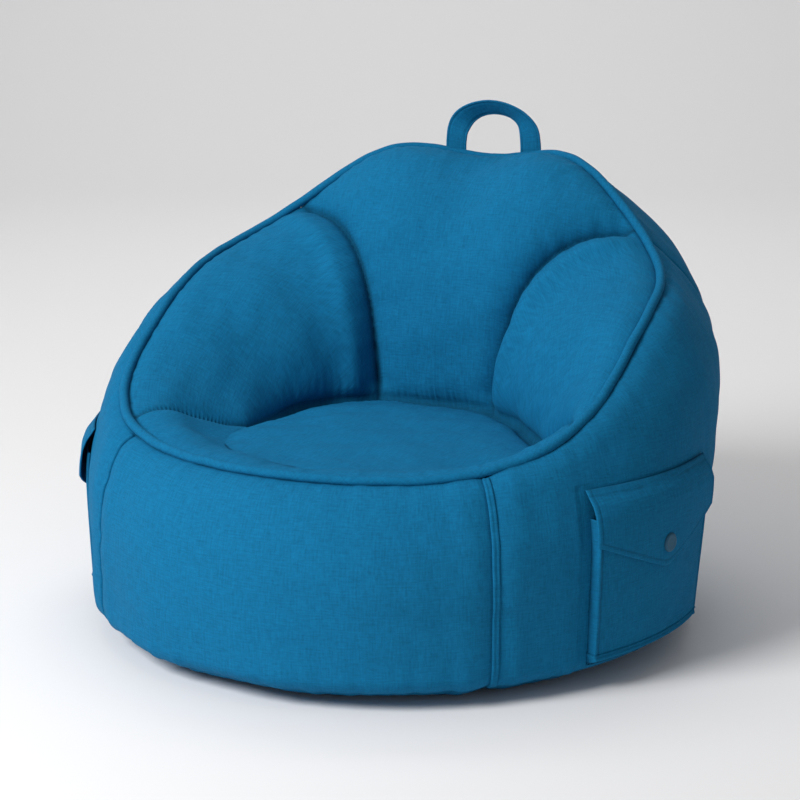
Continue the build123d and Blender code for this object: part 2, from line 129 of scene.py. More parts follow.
def arm_angle(t):
    return REAR_SEAM + 11.5 * (t - 1.0)


def unit(v):
    return v / np.maximum(np.linalg.norm(v, axis=-1, keepdims=True), 1e-9)


def waves(x, lengths, seed):
    """Smooth seeded ripple of a 1-D coordinate, about -1..1."""
    g = np.random.default_rng(seed)
    out = 0
    for L in lengths:
        out = out + np.sin(2 * math.pi * x / (L * g.uniform(0.85, 1.15)) + g.uniform(0, 6.28)) * g.uniform(0.6, 1)
    return out / len(lengths)


def lumps(p, lengths, seed):
    """Smooth seeded 3-D noise at points p, about -1..1."""
    g = np.random.default_rng(seed)
    out = 0
    for L in lengths:
        d = unit(g.normal(size=3))
        e = unit(g.normal(size=3))
        out = out + np.sin(2 * math.pi * (p @ d) / L + g.uniform(0, 6.28)) * np.cos(2 * math.pi * (p @ e) / (L * 1.3) + g.uniform(0, 6.28))
    return out / math.sqrt(len(lengths))


# ---------------- mesh helpers ----------------
def make(name, verts, faces, uv=None, smooth=True, attrs=None):
    """Mesh object from points in mm, faces (lists) and one uv per face corner, in metres."""
    me = bpy.data.meshes.new(name)
    me.from_pydata((np.asarray(verts) * 0.001).tolist(), [], faces)
    if uv is not None:
        layer = me.uv_layers.new(name="UVMap")
        layer.data.foreach_set("uv", np.asarray(uv, np.float32).ravel())
    for k, v in (attrs or {}).items():
        at = me.attributes.new(k, "FLOAT", "POINT")
        at.data.foreach_set("value", np.asarray(v, np.float32))
    if smooth:
        me.polygons.foreach_set("use_smooth", np.ones(len(me.polygons), bool))
    me.update()
    ob = bpy.data.objects.new(name, me)
    bpy.context.scene.collection.objects.link(ob)
    return ob


def grid_faces(nr, nc, wrap, start=0, flip=False):
    """Quads over a row-major grid."""
    c = np.arange(nc if wrap else nc - 1)
    r = np.arange(nr - 1)
    R, C = np.meshgrid(r, c, indexing="ij")
    C1 = (C + 1) % nc
    q = np.stack([R * nc + C, R * nc + C1, (R + 1) * nc + C1, (R + 1) * nc + C], -1).reshape(-1, 4) + start
    return q[:, ::-1] if flip else q


def shell(name, outer, inner, uvs, attrs=None, wrap_cols=False):
    """Closed cloth from an outer and an inner point grid (rows, cols, 3)."""
    nr, nc = outer.shape[:2]
    n = nr * nc
    f = [grid_faces(nr, nc, False), grid_faces(nr, nc, False, n, True)]
    idx = np.arange(n).reshape(nr, nc)
    loop = np.concatenate([idx[0, :], idx[1:, -1], idx[-1, -2::-1], idx[-2:0:-1, 0]])
    nxt = np.roll(loop, -1)
    f.append(np.stack([nxt, loop, loop + n, nxt + n], -1))
    F = np.concatenate(f)
    V = np.concatenate([outer.reshape(-1, 3), inner.reshape(-1, 3)])
    U = np.concatenate([uvs.reshape(-1, 2), uvs.reshape(-1, 2)]) * 0.001
    at = None
    if attrs:
        at = {k: np.concatenate([v.ravel(), v.ravel()]) for k, v in attrs.items()}
    return make(name, V, F.tolist(), U[F.ravel()], attrs=at)


def grid_normals(G, wrap=False):
    if wrap:
        du = np.roll(G, -1, 1) - np.roll(G, 1, 1)
    else:
        du = np.gradient(G, axis=1)
    dv = np.gradient(G, axis=0)
    return unit(np.cross(du, dv))


def tube(name, centre, side, up, prof, closed, uvrot=0.0, seam=None):
    """Sweep a closed profile [(side, up)] in mm along frames; caps its ends if open."""
    n, m = len(centre), len(prof)
    G = centre[:, None, :] + side[:, None, :] * prof[None, :, 0:1] + up[:, None, :] * prof[None, :, 1:2]
    V = G.reshape(-1, 3)
    rows = np.arange(n if closed else n - 1)
    R, C = np.meshgrid(rows, np.arange(m), indexing="ij")
    R1, C1 = (R + 1) % n, (C + 1) % m
    F = np.stack([R * m + C, R * m + C1, R1 * m + C1, R1 * m + C], -1).reshape(-1, 4)
    seg = np.linalg.norm(np.roll(centre, -1, 0) - centre, axis=1)
    s = np.concatenate([[0], np.cumsum(seg)])
    w = np.linalg.norm(np.roll(prof, -1, 0) - prof, axis=1)
    ws = np.concatenate([[0], np.cumsum(w)])
    Uc = np.stack([s[R], ws[C]], -1).reshape(-1, 2), np.stack([s[R], ws[C + 1]], -1).reshape(-1, 2), \
        np.stack([s[R + 1], ws[C + 1]], -1).reshape(-1, 2), np.stack([s[R + 1], ws[C]], -1).reshape(-1, 2)
    U = np.stack(Uc, 1)
    faces = F.tolist()
    U = U.reshape(-1, 2)
    if not closed:
        faces += [list(range(m))[::-1], list(range((n - 1) * m, n * m))]
        U = np.concatenate([U, prof[::-1], prof])
    c, q = math.cos(uvrot), math.sin(uvrot)
    U = np.stack([U[:, 0] * c - U[:, 1] * q, U[:, 0] * q + U[:, 1] * c], -1) * 0.001
    # outward orientation
    a0 = (np.roll(prof, -1, 0)[:, 1] * prof[:, 0] - np.roll(prof, -1, 0)[:, 0] * prof[:, 1]).sum()
    fwd = np.roll(centre, -1, 0)[0] - centre[0]
    if np.dot(np.cross(side[0], up[0]), fwd) * a0 < 0:
        k = 0
        Un = []
        out = []
        for f in faces:
            out.append(f[::-1])
            Un.append(U[k:k + len(f)][::-1])
            k += len(f)
        faces, U = out, np.concatenate(Un)
    return make(name, V, faces, U)


# ---------------- materials ----------------
def material(name):
    m = bpy.data.materials.new(name)
    m.use_nodes = True
    nt = m.node_tree
    return m, nt, nt.nodes["Principled BSDF"]


def canvas(name, colour, seams=True, tone=1.0, pitch=1.35, bump=0.5):
    """Slubbed plain-weave canvas in metric UVs."""
    m, nt, bs = material(name)
    N, L = nt.nodes, nt.links

    def new(kind, **kw):
        n = N.new(kind)
        for k, v in kw.items():
            setattr(n, k, v)
        return n

    def math_(op, a, b=None, clamp=False):
        n = new("ShaderNodeMath", operation=op, use_clamp=clamp)
        for i, x in enumerate((a, b)):
            if x is None:
                continue
            if isinstance(x, (int, float)):
                n.inputs[i].default_value = x
            else:
                L.new(x, n.inputs[i])
        return n.outputs[0]
    uv = new("ShaderNodeUVMap", uv_map="UVMap")
    sep = new("ShaderNodeSeparateXYZ")
    L.new(uv.outputs[0], sep.inputs[0])
    geo = new("ShaderNodeTexCoord")

    def slub(su, sv, detail=2.0):
        mp = new("ShaderNodeMapping")
        mp.inputs["Scale"].default_value = (su, sv, 1)
        L.new(uv.outputs[0], mp.inputs[0])
        nz = new("ShaderNodeTexNoise")
        nz.inputs["Scale"].default_value = 1.0
        nz.inputs["Detail"].default_value = detail
        nz.inputs["Roughness"].default_value = 0.6
        L.new(mp.outputs[0], nz.inputs["Vector"])
        return nz.outputs["Fac"]
    warp = slub(70, 640)        # streaks along u
    weft = slub(560, 60)        # streaks along v
    fleck = slub(330, 330, 3.0)
    # threads
    tu = math_("SINE", math_("MULTIPLY", sep.outputs[0], 2 * math.pi / (pitch * 0.001)))
    tv = math_("SINE", math_("MULTIPLY", sep.outputs[1], 2 * math.pi / (pitch * 0.001)))
    weave = math_("MULTIPLY", tu, tv)
    h1 = math_("ADD", math_("MULTIPLY", warp, 1.1), math_("MULTIPLY", weft, 1.1))
    height = math_("ADD", math_("MULTIPLY", weave, 0.22), h1)
    bp = new("ShaderNodeBump")
    bp.inputs["Strength"].default_value = bump
    bp.inputs["Distance"].default_value = 0.0006
    L.new(height, bp.inputs["Height"])
    L.new(bp.outputs[0], bs.inputs["Normal"])
    # colour factor: slub streaks, flecks and random tone, then painted shade along the seams
    macro = new("ShaderNodeTexNoise")
    macro.inputs["Scale"].default_value = 9.0
    macro.inputs["Detail"].default_value = 3.0
    L.new(geo.outputs["Object"], macro.inputs["Vector"])
    f = math_("ADD", math_("MULTIPLY", math_("ADD", math_("SUBTRACT", warp, 0.5), math_("SUBTRACT", weft, 0.5)), 0.55), 1.0)
    f = math_("ADD", f, math_("MULTIPLY", math_("SUBTRACT", fleck, 0.5), 0.35))
    f = math_("ADD", f, math_("MULTIPLY", weave, 0.035))
    f = math_("ADD", f, math_("MULTIPLY", math_("SUBTRACT", macro.outputs["Fac"], 0.5), 0.14))
    # painted shade: the 'seam' attribute darkens the base colour by up to 42% to stand in for the shade in the seam
    # grooves
    if seams:
        at = new("ShaderNodeAttribute", attribute_name="seam", attribute_type="GEOMETRY")
        f = math_("MULTIPLY", f, math_("SUBTRACT", 1.0, math_("MULTIPLY", at.outputs["Fac"], 0.42)))
    mix = new("ShaderNodeVectorMath", operation="SCALE")
    mix.inputs[0].default_value = tuple(c * tone for c in colour)
    L.new(f, mix.inputs["Scale"])
    L.new(mix.outputs[0], bs.inputs["Base Color"])
    bs.inputs["Roughness"].default_value = 0.88
    bs.inputs["Specular IOR Level"].default_value = 0.10
    bs.inputs["Sheen Weight"].default_value = 0.05
    bs.inputs["Sheen Roughness"].default_value = 0.45
    bs.inputs["Sheen Tint"].default_value = (0.05, 0.45, 0.75, 1)
    return m


def simple(name, colour, rough=0.5, metal=0.0, scale=900.0, amount=0.15, bump=0.15, stretch=(1, 1, 1)):
    """Object-space procedural finish for the small hard pieces and inner bags."""
    m, nt, bs = material(name)
    N, L = nt.nodes, nt.links
    tc = N.new("ShaderNodeTexCoord")
    mp = N.new("ShaderNodeMapping")
    mp.inputs["Scale"].default_value = stretch
    nz = N.new("ShaderNodeTexNoise")
    nz.inputs["Scale"].default_value = scale
    nz.inputs["Detail"].default_value = 3.0
    L.new(tc.outputs["Object"], mp.inputs[0])
    L.new(mp.outputs[0], nz.inputs["Vector"])
    r = N.new("ShaderNodeMapRange")
    r.inputs["To Min"].default_value = 1 - amount
    r.inputs["To Max"].default_value = 1 + amount
    L.new(nz.outputs["Fac"], r.inputs["Value"])
    mix = N.new("ShaderNodeVectorMath")
    mix.operation = "SCALE"
    mix.inputs[0].default_value = colour
    L.new(r.outputs[0], mix.inputs["Scale"])
    L.new(mix.outputs[0], bs.inputs["Base Color"])
    b = N.new("ShaderNodeBump")
    b.inputs["Strength"].default_value = bump
    b.inputs["Distance"].default_value = 0.0004
    L.new(nz.outputs["Fac"], b.inputs["Height"])
    L.new(b.outputs[0], bs.inputs["Normal"])
    bs.inputs["Roughness"].default_value = rough
    bs.inputs["Metallic"].default_value = metal
    return m


BLUE = (0.0040, 0.136, 0.288)
# the cover and the strap canvases carry painted shade along their seam grooves; the trim canvas does not
cover_mat = canvas("cover_canvas", BLUE)
trim_mat = canvas("trim_canvas", BLUE, seams=False, tone=0.97, bump=0.45)
strap_mat = canvas("strap_webbing", BLUE, seams=True, tone=0.92, pitch=1.8, bump=0.6)
snap_mat = simple("snap_enamel", (0.003, 0.085, 0.160), rough=0.6, scale=500, amount=0.06, bump=0.05)
steel_mat = simple("snap_steel", (0.55, 0.56, 0.58), rough=0.3, metal=1.0, scale=900, amount=0.08)
tape_mat = simple("zipper_tape", (0.010, 0.120, 0.235), rough=0.85, scale=1400, amount=0.2, bump=0.4, stretch=(1, 1, 0.3))
coil_mat = simple("zipper_coil", (0.012, 0.105, 0.2), rough=0.42, scale=1200, amount=0.25, bump=0.8)
slider_mat = simple("zipper_slider", (0.45, 0.46, 0.48), rough=0.32, metal=1.0, scale=700, amount=0.1)
liner_mat = simple("liner_cloth", (0.62, 0.62, 0.60), rough=0.8, scale=1300, amount=0.12, bump=0.3)
bead_mat = simple("foam_beads", (0.82, 0.82, 0.80), rough=0.7, scale=260, amount=0.1, bump=0.9)


# ---------------- the cover ----------------
def cover_grid(NA, nw, nb, ns, rough=True):
    """Point grid of the puffed cover, its normals and per-point weights for painted shade along the seams."""
    a = np.linspace(-math.pi, math.pi, NA, endpoint=False)
    rows_t = []
    lens = []
    for lo, hi, n in ((0, 1, nw), (1, 2, nb), (2, 2.97, ns)):
        tt = np.linspace(lo, hi, 500)
        P = skin(a[:, None], tt[None, :])
        seg = np.linalg.norm(np.diff(P, axis=1), axis=2)
        cum = np.concatenate([np.zeros((NA, 1)), np.cumsum(seg, 1)], 1)
        share = np.linspace(0, 1, n)
        T = np.stack([np.interp(share * cum[i, -1], cum[i], tt) for i in range(NA)])
        rows_t.append(T if lo == 0 else T[:, 1:])
        lens.append(cum[:, -1])
    T = np.concatenate(rows_t, 1).T                       # rows, cols
    A = np.broadcast_to(a[None, :], T.shape)
    P = skin(A, T)
    nrm = grid_normals(P, wrap=True)
    nr = T.shape[0]
    j = np.arange(nr)[:, None]
    wall, bowl = (j < nw), (j >= nw - 1)
    d_rim = np.where(j < nw, lens[0][None, :] * (1 - j / (nw - 1)),
                     lens[1][None, :] * np.minimum((j - nw + 1) / (nb - 1), 1)
                     + lens[2][None, :] * np.maximum(j - nw - nb + 2, 0) / (ns - 1))
    deg = folded(A)
    r_xy = np.hypot(P[..., 0], P[..., 1])
    # distance to the arm/back seams and to the seam round the seat
    def tree(points):
        kd = kdtree.KDTree(len(points))
        for i, q in enumerate(points):
            kd.insert(q, i)
        kd.balance()
        return kd
    ts = np.linspace(1.0, 2.0, 160)
    ab = [skin(np.radians(s * arm_angle(ts)), ts) for s in (1, -1)]
    kd_ab = tree(np.concatenate(ab))
    dd = np.linspace(56, 180, 420)
    kd_seat = tree(np.concatenate([skin(np.radians(dd), seam_level(dd)), skin(np.radians(-(dd - 11)), seam_level(dd - 11, True)),
                                   skin(np.radians(-dd), np.full(len(dd), 2.0))[330:]]))
    d_ab = np.full(T.shape, 400.0)
    i_ab = np.zeros(T.shape)
    d_seat = np.full(T.shape, 400.0)
    for jj in range(nw - 1, nr):
        for i in range(NA):
            q = P[jj, i]
            _, k, d = kd_ab.find(q)
            d_ab[jj, i], i_ab[jj, i] = d, k % 160
            d_seat[jj, i] = kd_seat.find(q)[2]
    d_v = np.full(T.shape, 400.0)
    for s in (FRONT_SEAM, REAR_SEAM):
        d_v = np.where(wall, np.minimum(d_v, np.abs(deg - s) * math.pi / 180 * r_xy), d_v)
    arc = np.radians(np.degrees(A)) * 330.0
    z = P[..., 2]
    D = np.zeros(T.shape)
    # walls
    near_zip = np.exp(-((z - 62) / 26.0) ** 4) * (deg > 140)
    near_pocket = ((deg > POCKET_C - POCKET_HALF - 2) & (deg < POCKET_C + POCKET_HALF + 2) & (z < FLAP_TOP + 4)).astype(float)
    calm = 1 - np.maximum(near_zip, near_pocket * 0.85)
    W = lumps(P, [150, 110, 85, 190], 3) * 1.7 * calm
    W = W + lumps(P, [46, 60, 38], 5) * 0.35 * calm
    W = W - 3.4 * np.exp(-(d_v / 7.0)) + 1.6 * np.exp(-((d_v - 24) / 15.0) ** 2) * calm
    W = W - 3.8 * np.exp(-(d_rim / 7.0)) + 1.8 * np.exp(-((d_rim - 24) / 16.0) ** 2)
    W = W - 2.2 * np.exp(-((z - BASE_SEAM_Z) / 4.5) ** 2)
    W = W + waves(arc, [21, 29, 37], 8) * 1.15 * np.exp(-d_rim / 24.0) * (1 - np.exp(-d_rim / 4.0))
    W = W + waves(z, [19, 27, 35], 9) * 0.9 * np.exp(-d_v / 15.0) * calm
    W = W + waves(arc, [26, 41, 17], 10) * 1.3 * np.exp(-np.maximum(z - 14, 0) / 26.0) * calm * np.clip(z / 12, 0, 1)
    # bowl: arms, back and the front roll, then the seat
    rear = np.clip((deg - np.where(A < 0, 44, 50)) / 20.0, 0, 1)
    on_seat = np.clip((T - 1.96) / 0.06, 0, 1)
    puff = (1 - np.exp(-d_ab / 30.0)) * (1 - np.exp(-d_seat / 26.0)) * (1 - np.exp(-d_rim / 24.0))
    B = 9.0 * puff * rear * (1 - on_seat)
    B = B - (12.0 * np.exp(-(d_ab / 6.5)) + 9.0 * np.exp(-(d_ab / 22.0))) * (1 - np.exp(-(d_rim / 9.0) ** 2)) * (1 - on_seat)
    B = B + 5.0 * np.exp(-((d_ab - 24) / 14.0) ** 2) * (deg < arm_angle(np.clip(T, 1, 2))) * np.clip(d_rim / 40, 0, 1) * (1 - on_seat) * (T > 1)
    B = B + 7.0 * np.exp(-((d_rim - 40) / 26.0) ** 2) * np.clip((66 - deg) / 22.0, 0, 1) * np.clip((deg + 4) / 20, 0.45, 1)
    B = B - (6.0 * np.exp(-d_seat / 4.5) + 4.0 * np.exp(-d_seat / 14.0)) * (0.35 + 0.65 * np.clip(d_rim / 60, 0, 1))
    B = B - 3.8 * np.exp(-(d_rim / 7.0)) + 1.4 * np.exp(-((d_rim - 20) / 13.0) ** 2)
    B = B + lumps(P, [120, 85, 150, 70], 21) * 1.9 * np.clip(d_rim / 30, 0, 1)
    B = B + lumps(P, [42, 55, 33], 23) * 0.45 * np.clip(d_rim / 30, 0, 1)
    B = B + waves(arc, [18, 26, 33], 18) * 1.5 * np.exp(-d_rim / 22.0) * (1 - np.exp(-d_rim / 4.0))
    B = B + waves(i_ab * 2.0, [23, 31, 44], 28) * 1.5 * np.exp(-d_ab / 22.0) * np.clip(d_ab / 6, 0, 1) * np.clip(d_rim / 30, 0, 1)
    B = B + waves(arc * 0.5, [15, 22, 34], 29) * 1.2 * np.exp(-d_seat / 18.0) * np.clip(d_seat / 6, 0, 1)
    # the dart over the front roll, in line with each front vertical seam
    d_dart = np.abs(deg - FRONT_SEAM) * math.pi / 180 * r_xy
    dart = np.exp(-(d_dart / 3.4) ** 2) * np.exp(-(d_rim / 26.0) ** 2) * (j >= nw)
    B = B + 2.2 * dart - 1.4 * np.exp(-(d_dart / 9.0) ** 2) * np.exp(-(d_rim / 26.0) ** 2)
    D = np.where(wall & (j < nw - 1), W, B)
    D[nw - 1] = 0.5 * (W[nw - 1] + B[nw - 1])
    D[0] = 0
    if nw > 60:
        D[1:4] *= np.array([0.1, 0.4, 0.8])[:, None]
    # painted shade: weights that darken the colour along the pinched seam, rim and base-seam grooves
    seam = np.maximum.reduce([
        1.35 * np.exp(-(d_ab / 3.4) ** 2) * (T >= 1) * (T <= 2.0),
        1.2 * np.exp(-(d_seat / 2.8) ** 2) * (T >= 1),
        0.7 * np.exp(-(np.maximum(d_v - 3.2, 0) / 1.8) ** 2) * wall,
        0.8 * np.exp(-(np.maximum(d_rim - 4.0, 0) / 2.2) ** 2),
        0.45 * np.exp(-((z - BASE_SEAM_Z) / 1.8) ** 2) * wall])
    deep = 6.0 + 22.0 * np.exp(-d_ab / 30.0) + 10.0 * np.exp(-d_seat / 18.0)
    V = P + nrm * D[..., None]
    V[0, :, 2] = 0.0
    V[..., 2] = np.maximum(V[..., 2], 0.0)
    return dict(deep=deep, a=a, A=A, T=T, P=P, V=V, nrm=nrm, seam=seam, lens=lens, nw=nw, nb=nb, ns=ns, deg=deg, d_rim=d_rim)


def closed_bag(name, G, V, uvd=True):
    """Closed mesh from a cover grid: base disc, skin and seat centre."""
    nr, nc = V.shape[:2]
    base = [V[0] * np.array([k, k, 0]) for k in (0.25, 0.5, 0.75, 0.92)]
    z0 = V[0, :, 2].mean()
    for b in base:
        b[:, 2] = z0
    full = np.concatenate([np.stack(base), V], 0)
    off = len(base)
    F = grid_faces(nr + off, nc, True).tolist()
    verts = full.reshape(-1, 3)
    lo, hi = len(verts), len(verts) + 1
    top = V[-1].mean(0)
    verts = np.concatenate([verts, [[0, 0, z0]], [top]])
    n_all = (nr + off) * nc
    last = (nr + off - 1) * nc
    idx = np.arange(nc)
    F += np.stack([np.full(nc, lo), (idx + 1) % nc, idx], -1).tolist()
    F += np.stack([np.full(nc, hi), last + idx, last + (idx + 1) % nc], -1).tolist()
    uv = None
    at = None
    if uvd:
        # metric uv per panel
        A = np.concatenate([np.repeat(G["A"][:1], off, 0), G["A"]])
        T = np.concatenate([np.full((off, nc), -1.0), G["T"]])
        deg = folded(A)
        jj = np.arange(nr)[:, None]
        up = np.where(jj < G["nw"], G["lens"][0][None, :] * jj / (G["nw"] - 1), 0.0)
        up = np.concatenate([np.zeros((off, nc)), up])
        rim = np.concatenate([np.zeros((off, nc)), G["d_rim"]])
        X, Y, Z = full[..., 0], full[..., 1], full[..., 2]
        Rr, Cc = np.meshgrid(np.arange(nr + off - 1), np.arange(nc), indexing="ij")
        C1 = (Cc + 1) % nc
        cor = [(Rr, Cc), (Rr, C1), (Rr + 1, C1), (Rr + 1, Cc)]
        tc = (T[Rr, Cc] + T[Rr + 1, Cc]) / 2
        dc = deg[Rr, Cc]
        sgn = np.sign(X[Rr, Cc])
        lim = seam_level(dc, A[Rr, Cc] < 0)
        is_wall = (tc < 1) & (tc >= 0)
        is_seat = (tc > 2) | ((tc >= 1) & (tc > lim) & (dc < arm_angle(tc)))
        is_back = ~is_wall & ~is_seat & (tc >= 1) & (dc >= arm_angle(tc))
        is_arm = ~is_wall & ~is_seat & ~is_back & (tc >= 1)
        UV = np.zeros(Rr.shape + (4, 2))
        for k, (r, c) in enumerate(cor):
            ang = A[r, c].copy()
            # keep a face that straddles the +-pi line continuous
            ang = np.where((ang - A[Rr, Cc]) < -3, ang + 2 * math.pi, ang)
            side = np.abs(ang) * 330.0
            uw = np.where(dc < FRONT_SEAM, ang * 330.0, np.where(dc < REAR_SEAM, ang * 330.0 + 11.0, ang * 330.0))
            UV[..., k, 0] = np.where(is_wall, uw, np.where(is_back, X[r, c], np.where(is_arm, 0.94 * Y[r, c] + 0.34 * sgn * X[r, c], X[r, c])))
            UV[..., k, 1] = np.where(is_wall, up[r, c], np.where(is_back, 0.5 * Y[r, c] + 0.866 * Z[r, c], np.where(is_arm, rim[r, c], Y[r, c] + 0.3 * Z[r, c])))
        UV = UV.reshape(-1, 2)
        v = verts
        capb = np.array(F[-2 * nc:])
        UVc = v[capb.ravel()][:, :2]
        uv = np.concatenate([UV, UVc]) * 0.001
        # painted shade weights along the seam grooves; none on the base disc or the two cap centres
        at = {"seam": np.concatenate([np.zeros(off * nc), G["seam"].ravel(), [0, 0]])}
    return make(name, verts, F, uv, attrs=at)


NA = 840
G = cover_grid(NA, 150, 120, 56)
cover = closed_bag("cover", G, G["V"])
cover.data.materials.append(cover_mat)
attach(cover, "bag")
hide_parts("seat_panel", "inner_back_panel", "left_arm_panel", "right_arm_panel", "front_panel",
            "left_side_panel", "right_side_panel", "rear_panel", "base_panel")

# inner bag and beads, inside the cover at every point
g2 = cover_grid(160, 40, 30, 16)
for nm, d, node, mt, sl in (("inner_bag", 4.0, "liner_bag", liner_mat, "liner"), ("foam_fill", 6.5, "bead_fill", bead_mat, "beads")):
    v = g2["P"] - g2["nrm"] * (d + g2["deep"])[..., None]
    v[0] = g2["V"][0] * np.array([0.98, 0.98, 0]) + np.array([0, 0, d])
    v[..., 2] = np.maximum(v[..., 2], d)
    o = closed_bag(nm, g2, v, uvd=False)
    o.data.materials.append(mt)
    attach(o, "bag")
    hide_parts(node)

# ---------------- rim piping ----------------
nw = G["nw"]
rim_row = skin(G["a"], np.ones(NA))
nrim = G["nrm"][nw - 1].copy()
tan = unit(np.roll(rim_row, -1, 0) - np.roll(rim_row, 1, 0))
nrim = unit(nrim - tan * (nrim * tan).sum(1)[:, None])
side = np.cross(nrim, tan)
arc = G["a"] * 300
wob = waves(arc, [31, 47], 41)[:, None] * 0.35
centre = rim_row + nrim * (0.9 + wob) + side * (waves(arc, [60, 95], 42)[:, None] * 0.5)
ang = np.linspace(0, 2 * math.pi, 18, endpoint=False)
prof = np.stack([np.cos(ang) * 4.9, np.sin(ang) * 4.9], -1)
pip = tube("rim_piping_cord", centre, side, nrim, prof, True, uvrot=0.785)
pip.data.materials.append(trim_mat)
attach(pip, "bag"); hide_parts("rim_piping")


# ---------------- raised vertical seams ----------------
def wall_at(deg, s):
    """Points, normals of the puffed wall along one body angle."""
    col = int(round((math.radians(deg) + math.pi) / (2 * math.pi) * NA)) % NA
    t = G["T"][:G["nw"], col]
    V = G["V"][:G["nw"], col]
    n = G["nrm"][:G["nw"], col]
    P = np.stack([np.interp(s, t, V[:, k]) for k in range(3)], -1)
    Nn = unit(np.stack([np.interp(s, t, n[:, k]) for k in range(3)], -1))
    return P, Nn


for nm, deg, node in (("front_right_seam", FRONT_SEAM, "front_right_welt"), ("front_left_seam", -FRONT_SEAM, "front_left_welt"),
                      ("rear_right_seam", REAR_SEAM, "rear_right_welt"), ("rear_left_seam", -REAR_SEAM, "rear_left_welt")):
    zr = float(cosum(RIM_Z, math.radians(deg)))
    s = np.linspace(15.0 / zr, 0.985, 110)
    P, Nn = wall_at(deg, s)
    tg = unit(np.gradient(P, axis=0))
    Nn = unit(Nn - tg * (Nn * tg).sum(1)[:, None])
    sd = np.cross(tg, Nn)
    P = P + Nn * 1.1 + sd * waves(s * zr, [70, 110], 55 + int(abs(deg)))[:, None] * 0.4
    pr = np.array([(-3.9, -1.4), (-3.9, 0.3), (-3.3, 1.6), (-2.2, 2.15), (-1.0, 1.7), (0, 1.55), (1.0, 1.7), (2.2, 2.15),
                   (3.3, 1.6), (3.9, 0.3), (3.9, -1.4), (0, -2.0)], float)
    o = tube(nm, P, sd, Nn, pr, False)
    o.data.materials.append(trim_mat)
    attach(o, "bag"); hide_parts(node)


# ---------------- pockets, flaps and snaps ----------------
def wall_pt(deg, z, off):
    a = np.radians(deg)
    zp = cosum(RIM_Z, a)
    r = wall_rz(a, z / zp)[0] + off
    return np.stack([r * np.sin(a), -r * np.cos(a), z + 0 * a], -1)


def slack(U, L, sidew, low):
    """The -X pocket lies flatter towards the front; share of the full stand-off."""
    if sidew > 0:
        return 1.0 + 0 * U
    k = np.clip((U - 4) / 75.0, 0, 1)
    return low + (1 - low) * k * k * (3 - 2 * k)


def edge_steps(L, fine=11.0, step=0.8, coarse=3.2):
    e = list(np.arange(0, fine, step))
    m = int((L - 2 * fine) / coarse)
    return np.array(e + list(np.linspace(fine, L - fine, m)) + [L - x for x in e[::-1]])


GUSSET = ([0, 0.9, 1.8, 2.8, 4.0, 5.2, 6.6, 8.5, 14, 40, 90], [0.9, 5.5, 9.4, 11.3, 11.9, 11.5, 10.3, 10.4, 10.9, 11.6, 12.2])
P0, P1 = POCKET_C - POCKET_HALF, POCKET_C + POCKET_HALF
mm_per_deg = 345.0 * math.pi / 180


def pocket(sidew):
    L = (P1 - P0) * mm_per_deg
    u = edge_steps(L)
    zs = np.array(list(POCKET_BOTTOM + np.arange(0, 11, 0.8)) + list(np.linspace(27.5, POCKET_TOP - 9, 50))
                  + list(np.linspace(POCKET_TOP - 8, POCKET_TOP, 8)))
    U, Z = np.meshgrid(u, zs)
    e = np.minimum(U, L - U)
    off = np.interp(e, *GUSSET)
    eb = Z - POCKET_BOTTOM
    offb = np.interp(eb, *GUSSET)
    k = 1.2
    off = -k * np.log(np.exp(-off / k) + np.exp(-offb / k))
    off = np.maximum(off, 0.9)
    off = off + 0.5 * np.exp(-((Z - POCKET_TOP + 3) / 2.5) ** 2) * (off > 8)
    off = off + (lumps(np.stack([U, Z, 0 * U], -1), [60, 85, 45], 71) * 0.7) * np.clip((np.minimum(e, eb) - 6) / 12, 0, 1)
    off = np.minimum(off, 12.6)
    off = 0.9 + (off - 0.9) * slack(U, L, sidew, 0.30)
    deg = P0 + U / mm_per_deg
    O = wall_pt(deg, Z, off)
    n = grid_normals(O)
    I = O - n * 1.3
    rad = np.hypot(I[..., 0], I[..., 1])
    O[..., 0] *= sidew
    I[..., 0] *= sidew
    if sidew < 0:
        O, I, U, off, e, eb = O[:, ::-1], I[:, ::-1], U[:, ::-1], off[:, ::-1], e[:, ::-1], eb[:, ::-1]
    # painted shade along the bellows fold near the edges and where the pocket's edge meets the wall
    seam = 0.75 * np.exp(-((np.minimum(e, eb) - 6.9) / 1.0) ** 2) + 0.6 * np.exp(-(np.minimum(e, eb) / 1.2) ** 2)
    return shell(("right" if sidew > 0 else "left") + "_bellows_pocket", O, I, np.stack([U, Z], -1), {"seam": np.clip(seam, 0, 1)})


FLAP_H = ([0, 6, 14, 24, 38, 200], [0.9, 4.6, 10.4, 13.6, 14.2, 14.2])


